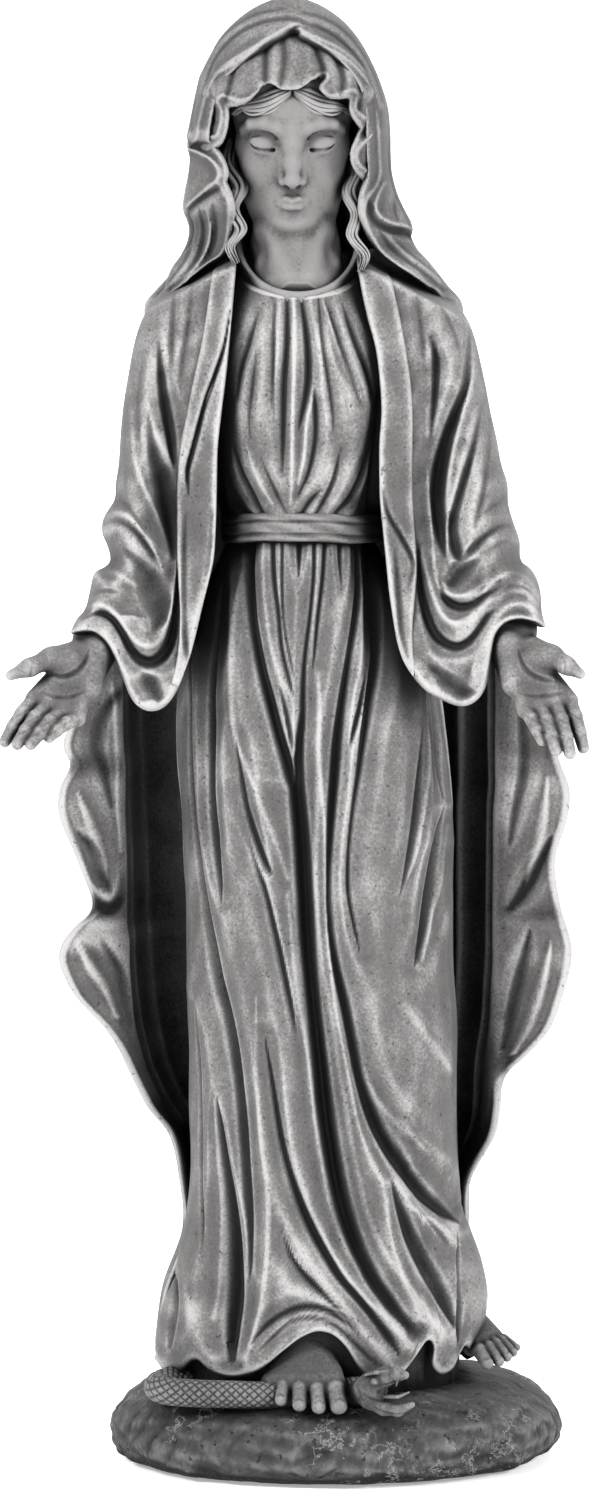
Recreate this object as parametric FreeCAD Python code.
"""Robed statue of the Madonna on a rock base, cast in sections and bonded together.

Millimetres. +Z is up, the figure faces -Y, and the origin is at the middle of the base's underside,
which is also the middle of the whole part seen from above. Each section of the casting is its own solid.
"""

import FreeCAD
import Part

import math
import os

V = FreeCAD.Vector

# Driving dimensions
HEIGHT = 740.0          # underside of the pads to the top of the veil
HAND_SPAN = 286.0       # fingertip to fingertip across the part
BASE_DEPTH = 196.0      # front to back
BASE_LEFT = -97.0       # the rock is set off towards the statue's left hand
BASE_RIGHT = 138.0
BASE_TOP = 42.0         # height of the rock where the gown stands on it
WALL = 6.0              # wall of the hollow castings
MANTLE_WALL = 5.0       # wall of the thinner draped sheets
PAD_STAND = 1.5         # how far the rubber pads stand below the rock's rim
WAIST_LOW = 466.0       # lower and upper edge of the sash
WAIST_HIGH = 479.0
ROD_RADIUS = 4.0        # tie rod that draws the figure down onto the base
ROD_X = 6.0
ROD_Y = 4.0
DOWEL_RADIUS = 2.5      # dowels that carry the hands
ANGLE_STEPS = 28        # points round one closed section


def oval(row, squareness=2.4, steps=ANGLE_STEPS, pleats=None):
    """A closed smooth section at one height: row is (z, left, right, front, back).

    pleats is (count, depth): the section's radius then rises and falls that often by that depth."""
    z, left, right, front, back = row
    middle = V((left + right) / 2, (front + back) / 2, z)
    half_width = (right - left) / 2
    half_depth = (back - front) / 2
    points = []
    for i in range(steps):
        angle = 2 * math.pi * i / steps
        cos, sin = math.cos(angle), math.sin(angle)
        reach = (abs(cos) ** squareness + abs(sin) ** squareness) ** (-1 / squareness)
        if pleats:
            reach *= 1 - pleats[1] / half_width * (0.5 - 0.5 * math.cos(pleats[0] * angle))
        points.append(middle + V(half_width * reach * cos, half_depth * reach * sin, 0))
    curve = Part.BSplineCurve()
    curve.interpolate(points, PeriodicFlag=True)
    return Part.Wire(curve.toShape())


def loft(rows, **options):
    """A closed solid through oval sections."""
    return Part.makeLoft([oval(row, **options) for row in rows], True)


def inset(rows, wall):
    """The same sections, moved inwards by the wall."""
    return [(z, left + wall, right - wall, front + wall, back - wall) for z, left, right, front, back in rows]


def biggest(shape):
    """The largest solid of a cut's result, without the slivers."""
    return max(shape.Solids, key=lambda solid: solid.Volume)


def without(shape, *others):
    """The shape with its neighbours' space cut out of it."""
    for other in others:
        if shape.BoundBox.intersect(other.BoundBox):
            shape = shape.cut(other)
    return biggest(shape)


def ball(centre, rx, ry, rz):
    """An ellipsoid."""
    matrix = FreeCAD.Matrix()
    matrix.scale(rx, ry, rz)
    matrix.move(V(*centre))
    return Part.makeSphere(1.0).transformGeometry(matrix)


def cylinder(centre, radius, low, high):
    """An upright cylinder between two heights."""
    return Part.makeCylinder(radius, high - low, V(centre[0], centre[1], low))


def limb(stations):
    """A round tapering bar through (x, y, z, radius) stations, with rounded ends."""
    points = [V(*station[:3]) for station in stations]
    wires = []
    for i, station in enumerate(stations):
        ahead = points[min(i + 1, len(points) - 1)] - points[max(i - 1, 0)]
        wires.append(Part.Wire(Part.makeCircle(station[3], points[i], ahead)))
    solid = Part.makeLoft(wires, True)
    for end in (stations[0], stations[-1]):
        solid = solid.fuse(Part.makeSphere(end[3] * 0.995, V(*end[:3])))
    return biggest(solid)


def mirrored(rows):
    """Rows of the statue's right side, moved to its left side."""
    return [(z, -right, -left, front, back) for z, left, right, front, back in rows]


# ---------------------------------------------------------------- base

ROCK_ROWS = [
    (PAD_STAND, BASE_LEFT + 9, BASE_RIGHT - 12, -BASE_DEPTH / 2 + 7, BASE_DEPTH / 2 - 7),
    (9, BASE_LEFT + 1, BASE_RIGHT - 2, -BASE_DEPTH / 2, BASE_DEPTH / 2),
    (18, BASE_LEFT, BASE_RIGHT, -BASE_DEPTH / 2 + 2, BASE_DEPTH / 2 - 1),
    (29, BASE_LEFT + 9, BASE_RIGHT - 7, -BASE_DEPTH / 2 + 8, BASE_DEPTH / 2 - 8),
    (38, BASE_LEFT + 24, BASE_RIGHT - 17, -BASE_DEPTH / 2 + 20, BASE_DEPTH / 2 - 20),
    (BASE_TOP, BASE_LEFT + 42, BASE_RIGHT - 30, -BASE_DEPTH / 2 + 36, BASE_DEPTH / 2 - 36),
]
PLATE_THICK = 4.0
PLATE_ROW = (0, BASE_LEFT + 22, BASE_RIGHT - 25, -BASE_DEPTH / 2 + 20, BASE_DEPTH / 2 - 20)


def plate_prism(low, high, grow=0.0):
    """The oval closing plate, or the seat for it, between two heights."""
    row = inset([PLATE_ROW], -grow)[0]
    return loft([(low, *row[1:]), (high, *row[1:])])


def base_rock():
    """The domed rock, hollow from below, with a seat for the closing plate and a boss round the tie rod."""
    outside = loft(ROCK_ROWS, squareness=2.5)
    hollow_top = BASE_TOP - 2 * WALL
    hollow_rows = [
        (PAD_STAND + PLATE_THICK, BASE_LEFT + 28, BASE_RIGHT - 31, -BASE_DEPTH / 2 + 26, BASE_DEPTH / 2 - 26),
        (hollow_top - 8, BASE_LEFT + 32, BASE_RIGHT - 35, -BASE_DEPTH / 2 + 30, BASE_DEPTH / 2 - 30),
        (hollow_top, BASE_LEFT + 50, BASE_RIGHT - 52, -BASE_DEPTH / 2 + 46, BASE_DEPTH / 2 - 46),
    ]
    boss = cylinder((ROD_X, ROD_Y), 3 * ROD_RADIUS, hollow_top - 12, BASE_TOP - WALL)
    rock = outside.cut(loft(hollow_rows)).fuse(boss)
    rock = rock.cut(plate_prism(PAD_STAND - 1, PAD_STAND + PLATE_THICK, grow=0.4))
    return biggest(rock.cut(cylinder((ROD_X, ROD_Y), ROD_RADIUS + 0.5, 0, HEIGHT)))


PAD_RADIUS = 9.0
PAD_RECESS = 1.0
VENT_RADIUS = 5.0


def pad_places():
    """Where the four pads sit, as a rectangle inside the closing plate."""
    middle = (BASE_LEFT + BASE_RIGHT) / 2
    return [(middle + sx * 62, sy * 48) for sx in (-1, 1) for sy in (-1, 1)]


def base_closing_plate():
    """The plate that closes the hollow base, with a vent hole and a shallow recess for each pad."""
    plate = plate_prism(PAD_STAND, PAD_STAND + PLATE_THICK)
    for place in pad_places():
        plate = plate.cut(cylinder(place, PAD_RADIUS + 0.1, 0, PAD_STAND + PAD_RECESS))
    vent = ((BASE_LEFT + BASE_RIGHT) / 2, 0)
    return biggest(plate.cut(cylinder(vent, VENT_RADIUS, 0, 2 * PLATE_THICK)))


def base_pads():
    """Four round rubber pads, which the whole statue stands on."""
    pads = []
    for place in pad_places():
        pad = cylinder(place, PAD_RADIUS, 0, PAD_STAND + PAD_RECESS)
        rim = [edge for edge in pad.Edges if edge.BoundBox.ZMax < 0.01 and edge.Length > PAD_RADIUS]
        pads.append(pad.makeChamfer(0.5, rim))
    return Part.makeCompound(pads)


ROD_TOP = 566.0
NUT_HEIGHT = 6.0
WASHER_THICK = 1.6


def tie_rod():
    """The threaded rod's plain envelope, from under the rock's boss up into the bust."""
    return cylinder((ROD_X, ROD_Y), ROD_RADIUS, BASE_TOP - 2 * WALL - 12 - 10, ROD_TOP)


def tie_rod_washer():
    """The washer between the rock's boss and the nut."""
    top = BASE_TOP - 2 * WALL - 12
    ring = cylinder((ROD_X, ROD_Y), 2 * ROD_RADIUS + 1.5, top - WASHER_THICK, top)
    return ring.cut(cylinder((ROD_X, ROD_Y), ROD_RADIUS + 0.2, 0, top + 1))


def tie_rod_nut():
    """The hexagon nut under the washer."""
    top = BASE_TOP - 2 * WALL - 12 - WASHER_THICK
    across_corners = 7.5
    corners = []
    for i in range(7):
        angle = i * math.pi / 3
        reach = V(math.cos(angle), math.sin(angle), 0) * across_corners
        corners.append(V(ROD_X, ROD_Y, top - NUT_HEIGHT) + reach)
    nut = Part.Face(Part.makePolygon(corners)).extrude(V(0, 0, NUT_HEIGHT))
    return nut.cut(cylinder((ROD_X, ROD_Y), ROD_RADIUS + 0.05, 0, top + 1))


# ---------------------------------------------------------------- gown

SKIRT_ROWS = [
    (34, -64, 98, -68, 70),
    (52, -64, 98, -70, 71),
    (83, -57, 93, -70, 73),
    (133, -56, 85, -66, 77),
    (180, -56, 82, -62, 80),
    (253, -57, 79, -62, 83),
    (315, -59, 81, -57, 83),
    (380, -62, 76, -51, 80),
    (425, -52, 62, -44, 72),
    (WAIST_LOW, -38, 46, -36, 56),
]
BODICE_ROWS = [
    (WAIST_HIGH, -38, 46, -36, 56),
    (495, -42, 49, -41, 60),
    (530, -45, 52, -45, 61),
    (560, -46, 52, -42, 56),
    (585, -42, 46, -34, 46),
    (598, -34, 38, -28, 36),
    (604, -26, 30, -24, 28),
]
SHEET_PLEATS = 22


def gown_skirt():
    """The long pleated skirt, a hollow shell that stands on the rock."""
    outside = loft(SKIRT_ROWS, squareness=2.3, steps=4 * SHEET_PLEATS, pleats=(SHEET_PLEATS, 3.5))
    inside = loft(inset(SKIRT_ROWS[:-1], WALL + 2) + inset([(WAIST_LOW - 4, *SKIRT_ROWS[-1][1:])], WALL + 2))
    bore = cylinder((ROD_X, ROD_Y), ROD_RADIUS + 0.5, 0, HEIGHT)
    return outside.cut(inside).cut(bore)


def gown_envelope():
    """The room the pleated gown stands in, as two smooth solids that trim its neighbours."""
    return loft(SKIRT_ROWS, squareness=2.3), loft(BODICE_ROWS, squareness=2.2)


def waist_sash():
    """The flat sash round the waist, closed round the tie rod."""
    left, right, front, back = SKIRT_ROWS[-1][1:]
    belt = [(WAIST_LOW, left - 2, right + 2, front - 2, back + 2), (WAIST_HIGH, left - 2, right + 2, front - 2, back + 2)]
    return loft(belt).cut(cylinder((ROD_X, ROD_Y), ROD_RADIUS + 0.5, 0, HEIGHT))


def gown_bodice():
    """The gathered bodice, hollow, with a thick top that the rod and the neck seat in."""
    outside = loft(BODICE_ROWS, squareness=2.2, steps=4 * SHEET_PLEATS, pleats=(SHEET_PLEATS, 1.5))
    hollow_rows = [row for row in BODICE_ROWS if row[0] < ROD_TOP]
    inside = loft(inset([(WAIST_HIGH + WALL, *BODICE_ROWS[0][1:])] + hollow_rows[1:], WALL + 2))
    return outside.cut(inside).cut(cylinder((ROD_X, ROD_Y), ROD_RADIUS + 0.5, 0, ROD_TOP))


# ---------------------------------------------------------------- head

NECK_X = 1.0
HEAD_X = -2.0
NECK_ROWS = [
    (588, NECK_X - 22, NECK_X + 22, -21, 20),
    (606, NECK_X - 22, NECK_X + 22, -22, 20),
    (622, NECK_X - 21, NECK_X + 20, -24, 22),
    (640, HEAD_X - 22, HEAD_X + 22, -30, 26),
]
SKULL_ROWS = [
    (620, HEAD_X - 10, HEAD_X + 10, -42, -20),
    (626, HEAD_X - 17, HEAD_X + 17, -47, -4),
    (640, HEAD_X - 25, HEAD_X + 25, -48, 18),
    (656, HEAD_X - 30, HEAD_X + 30, -46, 32),
    (674, HEAD_X - 32, HEAD_X + 32, -42, 38),
    (692, HEAD_X - 31, HEAD_X + 31, -36, 38),
    (708, HEAD_X - 26, HEAD_X + 26, -26, 32),
    (720, HEAD_X - 15, HEAD_X + 15, -10, 20),
]


def head():
    """Head and neck in one, with a plain nose, brow and lips."""
    solid = loft(SKULL_ROWS, squareness=2.1).fuse(loft(NECK_ROWS, squareness=2.0))
    nose = limb([(HEAD_X, -43, 668, 3.0), (HEAD_X, -50, 656, 3.4), (HEAD_X, -52.5, 647, 4.6)])
    lips = ball((HEAD_X, -48, 637.5), 8.0, 3.4, 3.2)
    return biggest(solid.fuse(nose).fuse(lips))


def hair_lock(side):
    """A wavy lock that hangs between the face and the veil: side is -1 or 1."""
    stations = []
    for i in range(9):
        t = i / 8
        wave = 1.5 * math.sin(4 * math.pi * t)
        stations.append((HEAD_X + side * (30 + 4 * t + wave), -20 - 6 * t, 676 - 58 * t, 4.2 - 1.6 * t))
    return limb(stations)


def brow_hair():
    """The two swept strands under the inner veil, parted in the middle."""
    halves = []
    for side in (-1, 1):
        points = [(HEAD_X + side * 1.5, -39.5, 692.5), (HEAD_X + side * 14, -38, 689), (HEAD_X + side * 27, -28, 680)]
        halves.append(limb([(*point, 4.2 - 0.6 * i) for i, point in enumerate(points)]))
    return biggest(halves[0].fuse(halves[1]))


def neck_band():
    """The plain band round the gown's neckline, lower in front than behind."""
    height, tilt = 6.0, 14.0
    ring = loft([(-height / 2, -28, 28, -27, 27), (height / 2, -26.5, 26.5, -25, 25)])
    ring = ring.cut(loft([(-height, -23, 23, -22.5, 22.5), (height, -23, 23, -22.5, 22.5)]))
    ring.rotate(V(0, 0, 0), V(1, 0, 0), tilt)
    ring.translate(V(NECK_X, -1.0, 601.0))
    return ring


# ---------------------------------------------------------------- veils

VEIL_ROWS = [
    (548, -46, 54, 20, 62),
    (560, -62, 72, 2, 63),
    (574, -74, 88, -10, 63),
    (586, -73, 86, -18, 62),
    (600, -62, 70, -26, 60),
    (618, -56, 54, -34, 58),
    (640, -54, 48, -42, 57),
    (665, -54, 47, -47, 56),
    (690, -51, 44, -46, 53),
    (712, -43, 36, -38, 45),
    (728, -32, 25, -26, 34),
    (737, -18, 10, -12, 20),
]
VEIL_APEX = V(-4, 4, HEIGHT)


def domed(rows, apex, **options):
    """A loft that closes in one point at the top."""
    sections = [oval(row, **options) for row in rows]
    return Part.makeLoft(sections + [Part.Vertex(apex)], True)


def face_opening(half_width, low, high):
    """The upright arched opening that the face looks out of, as a cutter from the front."""
    middle = high - half_width
    arch = Part.makeCylinder(half_width, 90, V(HEAD_X, -100, middle), V(0, 1, 0))
    slot = Part.makeBox(2 * half_width, 90, middle - low, V(HEAD_X - half_width, -100, low))
    return arch.fuse(slot)


def outer_veil():
    """The veil that hangs from the crown over the shoulders, open in front."""
    outside = domed(VEIL_ROWS, VEIL_APEX)
    inside = domed(inset(VEIL_ROWS, MANTLE_WALL), VEIL_APEX - V(0, 0, MANTLE_WALL))
    shell = outside.cut(inside).cut(face_opening(37, 500, 722))
    below = Part.makeBox(400, 400, 60, V(-200, -200, 500))
    return biggest(shell.cut(below))


def inner_veil():
    """The small ruffled veil worn under the outer one, over the brow."""
    rows = [row for row in inset(VEIL_ROWS, MANTLE_WALL + 0.4) if 640 <= row[0] <= 715]
    outside = loft(rows, steps=4 * SHEET_PLEATS, pleats=(SHEET_PLEATS, 2.0))
    inside = loft(inset([(rows[0][0] - 5, *rows[0][1:])] + rows[1:-1] + [(rows[-1][0] + 5, *rows[-1][1:])], 3.5))
    back = Part.makeBox(200, 200, 300, V(-100, 10, 550))
    return biggest(outside.cut(inside).cut(back).cut(face_opening(31, 500, 699)))


# ---------------------------------------------------------------- mantle

MANTLE_ROWS = [
    # z, left edge x, right edge x, y of both front edges, y of the back
    (54, -72, 84, 12, 72),
    (80, -68, 86, 14, 74),
    (120, -61, 89, 14, 78),
    (160, -68, 102, 12, 82),
    (191, -84, 108, 8, 84),
    (219, -98, 128, 2, 86),
    (255, -116, 137, -4, 88),
    (278, -108, 134, 2, 88),
    (303, -110, 128, -2, 88),
    (328, -118, 134, -4, 88),
    (365, -112, 127, 6, 86),
    (425, -97, 113, 16, 82),
    (480, -90, 104, 20, 76),
    (540, -82, 94, 20, 68),
    (575, -70, 80, 24, 58),
]


def arch(row, wall):
    """A closed U-shaped section of the mantle, open towards the front, or filled when the wall is None."""
    z, left, right, edge, back = row
    steps = 16

    def curve(grow):
        points = []
        for i in range(steps + 1):
            turn = math.pi * i / steps
            x = (left + right) / 2 - ((right - left) / 2 - grow) * math.cos(turn)
            y = edge + (back - grow - edge) * math.sin(turn) ** 0.75
            points.append(V(x, y, z))
        return points

    outer = Part.BSplineCurve()
    outer.interpolate(curve(0))
    edges = [outer.toShape()]
    if wall is None:
        edges.append(Part.makeLine(curve(0)[-1], curve(0)[0]))
        return Part.Wire(edges)
    inner = Part.BSplineCurve()
    inner.interpolate(curve(wall)[::-1])
    edges.append(Part.makeLine(curve(0)[-1], curve(wall)[-1]))
    edges.append(inner.toShape())
    edges.append(Part.makeLine(curve(wall)[0], curve(0)[0]))
    return Part.Wire(edges)


def mantle_back():
    """The wide cloak behind the figure, whose front edges wave in and out."""
    return Part.makeLoft([arch(row, MANTLE_WALL) for row in MANTLE_ROWS], True)


def mantle_hull():
    """The space that the mantle wraps round, used to trim what lies in front of it."""
    return Part.makeLoft([arch(row, None) for row in MANTLE_ROWS if row[0] > 360], True)


SLEEVE_ROWS = [
    (379, -82, -66, -62, -48),
    (386, -90, -60, -66, -42),
    (402, -103, -54, -70, -26),
    (418, -112, -50, -68, -4),
    (432, -109, -48, -62, 14),
    (450, -104, -46, -50, 24),
    (476, -98, -45, -40, 26),
    (515, -91, -44, -36, 26),
    (560, -85, -40, -32, 26),
    (590, -74, -34, -24, 26),
    (608, -56, -32, -12, 20),
]


def lapel(side):
    """The flat border of the mantle, from the neck down past the waist: side is -1 or 1."""
    stations = [
        (27, -27, 606, 8), (31, -37, 585, 10), (38, -45, 550, 14), (45, -48, 510, 16),
        (47, -47, 480, 16), (49, -52, 450, 16), (54, -60, 420, 15),
    ]
    thick = 4.0
    wires = []
    for x, y, z, wide in stations:
        shift = 4.0 if side > 0 else 0.0
        inner, outer = side * (x - wide / 2) + shift, side * (x + wide / 2) + shift
        corners = [V(inner, y, z), V(outer, y + 2, z), V(outer, y + 2 + thick, z), V(inner, y + thick, z)]
        wires.append(Part.makePolygon(corners + corners[:1]))
    return Part.makeLoft(wires, True)


def sleeve(side):
    """One wide hanging sleeve with its drooping cuff: side is -1 for the statue's right arm."""
    rows = SLEEVE_ROWS
    if side > 0:
        rows = [(z, left + 10, right + 12, front, back) for z, left, right, front, back in mirrored(rows)]
        rows = [(z, left - 6, right, front, back) for z, left, right, front, back in rows]
    return loft(rows, squareness=2.1)


# ---------------------------------------------------------------- hands and feet

FINGERS = [
    # across the palm, first joint, second joint and tip along the hand, radius at the root
    (-9.6, 33.0, 46.0, 57.0, 4.0),
    (-3.4, 35.0, 50.0, 63.0, 4.2),
    (3.0, 35.0, 49.0, 61.0, 4.1),
    (9.2, 32.0, 43.0, 52.0, 3.5),
]
HAND_TILT = 36.0        # how far the hand leans towards the viewer
HAND_SPLAY = 38.0       # how far the fingers point outwards from straight down


PALM_ROWS = [
    (-14, -8, 8, -6, 6), (0, -9, 9, -7, 7), (12, -12, 12, -7.5, 6), (26, -13.5, 13.5, -6.5, 5.5), (34, -12.5, 12.5, -5, 5),
]
SOCKET_PLAY = 1.5       # room round the hand in its sleeve


def hand():
    """An open hand along +Z, palm to the front, thumb on the -X side."""
    palm = loft(PALM_ROWS, squareness=2.3)
    for across, root, joint, tip, radius in FINGERS:
        palm = palm.fuse(limb([
            (across * 0.9, 0, root - 6, radius), (across, -1.5, root + 4, radius),
            (across * 1.05, -3, joint, radius * 0.92), (across * 1.05, -6, tip - radius, radius * 0.74),
        ]))
    palm = palm.fuse(limb([(-9, -3, 8, 5.6), (-16, -6, 20, 4.9), (-22, -8.5, 33, 4.0), (-25, -9, 41, 3.2)]))
    return biggest(palm)


def hand_socket():
    """The room a sleeve leaves for its hand: the palm with play round it, widened on the thumb's side."""
    rows = inset(PALM_ROWS, -SOCKET_PLAY)
    return loft([(z, left - max(0, z) * 0.35 - 3, right, front - 2, back) for z, left, right, front, back in rows])


def posed(shape, side):
    """A shape drawn along the hand, turned so that the fingers point down, outwards and a little forwards."""
    shape = shape.mirror(V(0, 0, 0), V(1, 0, 0))
    shape.rotate(V(0, 0, 0), V(0, 1, 0), 180)
    shape.rotate(V(0, 0, 0), V(1, 0, 0), -HAND_TILT)
    shape.rotate(V(0, 0, 0), V(0, 1, 0), HAND_SPLAY)
    if side < 0:
        return shape
    return shape.mirror(V(0, 0, 0), V(1, 0, 0))


def placed_hand(side):
    """The hand, its socket and its wrist's place, with the outermost fingertip at the hand span."""
    solid, socket = posed(hand(), side), posed(hand_socket(), side)
    box = solid.optimalBoundingBox(True)
    shift = HAND_SPAN / 2 - box.XMax if side > 0 else -HAND_SPAN / 2 - box.XMin
    wrist = V(shift, -58, 413)
    for shape in (solid, socket):
        shape.translate(wrist)
    return solid, socket, wrist


def hand_dowel(wrist, side):
    """The steel dowel that joins a hand to its sleeve."""
    along = V(side * math.sin(math.radians(-20)), 0.7, 0.7)
    along.normalize()
    return Part.makeCylinder(DOWEL_RADIUS, 30, wrist - along * 6, along)


def foot(toes, heel, width):
    """A bare foot with five toes, from the toes' middle back to the heel, both (x, y, z) of the sole."""
    toes, heel = V(*toes), V(*heel)
    length = (heel - toes).Length
    solid = loft([
        (0, -width * 0.42, width * 0.42, 0, 11), (length * 0.16, -width * 0.5, width * 0.5, 0, 14),
        (length * 0.45, -width * 0.42, width * 0.42, 0, 21), (length * 0.8, -width * 0.3, width * 0.3, 0, 27),
        (length, -width * 0.22, width * 0.22, 0, 22),
    ])
    for i in range(5):
        across = width * (-0.4 + 0.2 * i)
        radius = 3.1 + 0.45 * i
        reach = 9.0 - 0.5 * (i - 3) ** 2
        solid = solid.fuse(limb([(across * 0.9, radius + 3, 5, radius), (across, radius + 0.5, -reach, radius * 0.85)]))
    solid = biggest(solid)
    solid.rotate(V(0, 0, 0), V(1, 0, 0), -90)
    solid = solid.mirror(V(0, 0, 0), V(0, 0, 1))
    turn = math.degrees(math.atan2(-(heel - toes).x, (heel - toes).y))
    solid.rotate(V(0, 0, 0), V(0, 0, 1), turn)
    solid.translate(toes)
    return solid


# ---------------------------------------------------------------- serpent

def serpent_body():
    """The part of the serpent that lies on the rock beside and under the front foot."""
    stations = [
        (-66, -20, 42, 5.0), (-71, -36, 40, 6.6), (-62, -49, 39, 7.4), (-42, -57, 39, 7.6),
        (-22, -60, 40, 7.4), (0, -58, 42, 7.0), (24, -56, 43, 6.6), (37, -64, 46, 6.4),
    ]
    return limb(stations)


def serpent_head():
    """The serpent's flat head, mouth open, next to the front foot."""
    skull = ball((46, -76, 48), 13, 11, 6.5)
    skull.rotate(V(46, -76, 48), V(0, 1, 0), 18)
    jaw = ball((48, -80, 40.5), 12, 9, 3.4)
    return biggest(skull.fuse(jaw).fuse(ball((38, -70, 44), 7.5, 8, 6.6)))


# ---------------------------------------------------------------- assembly

def build():
    """Every section by name, each trimmed where its neighbour stands."""
    parts = {
        "base_rock": base_rock(),
        "base_closing_plate": base_closing_plate(),
        "base_pads": base_pads(),
        "tie_rod": tie_rod(),
        "tie_rod_washer": tie_rod_washer(),
        "tie_rod_nut": tie_rod_nut(),
    }
    solid_rock = loft(ROCK_ROWS, squareness=2.5)
    front_foot = without(foot((9, -74, 32), (4, -14, 32), 34), solid_rock)
    back_foot = without(foot((102, -28, 33), (76, 22, 33), 30), solid_rock)
    serpent = without(serpent_body(), solid_rock, front_foot)
    snake_head = without(serpent_head(), solid_rock, front_foot, serpent)
    skull, veil, cloak = head(), outer_veil(), mantle_back()
    sash = without(waist_sash(), cloak)
    bodice = without(gown_bodice(), skull, cloak, veil)
    cap = without(inner_veil(), skull, veil)
    brow = without(brow_hair(), skull, cap, veil)
    band = without(neck_band(), skull, bodice)
    skirt = without(gown_skirt(), solid_rock, front_foot, back_foot, serpent, snake_head, cloak)
    hull = mantle_hull()
    parts.update({
        "gown_skirt": skirt, "gown_bodice": bodice, "waist_sash": sash, "neck_band": band,
        "head": skull, "brow_hair": brow, "inner_veil": cap, "outer_veil": veil,
        "mantle_back": without(cloak, veil),
        "right_foot": front_foot, "left_foot": back_foot,
        "serpent_body": serpent, "serpent_head": snake_head,
    })
    for name, side in (("right", -1), ("left", 1)):
        hand_solid, socket, wrist = placed_hand(side)
        dowel = hand_dowel(wrist, side)
        palm = without(hand_solid, dowel)
        border = without(lapel(side), *gown_envelope(), sash, band)
        arm = without(sleeve(side), hull, veil, *gown_envelope(), sash, border, socket, dowel)
        parts[name + "_hair_lock"] = without(hair_lock(side), skull)
        parts[name + "_hand"] = palm
        parts[name + "_hand_dowel"] = dowel
        parts[name + "_lapel"] = border
        parts[name + "_sleeve"] = arm
    return parts


def main():
    """Builds every section, checks it and writes one STEP per node."""
    os.makedirs("parts", exist_ok=True)
    for old in os.listdir("parts"):
        os.remove(os.path.join("parts", old))
    whole = FreeCAD.BoundBox()
    for name, shape in build().items():
        whole.add(shape.optimalBoundingBox(True))
        print(f"{name:20s} valid={shape.isValid()} solids={len(shape.Solids)} cm3={shape.Volume / 1000:.1f}")
        shape.exportStep(f"parts/{name}.step")
    print(f"box x {whole.XMin:.1f} {whole.XMax:.1f} y {whole.YMin:.1f} {whole.YMax:.1f} z {whole.ZMin:.1f} {whole.ZMax:.1f}")


main()
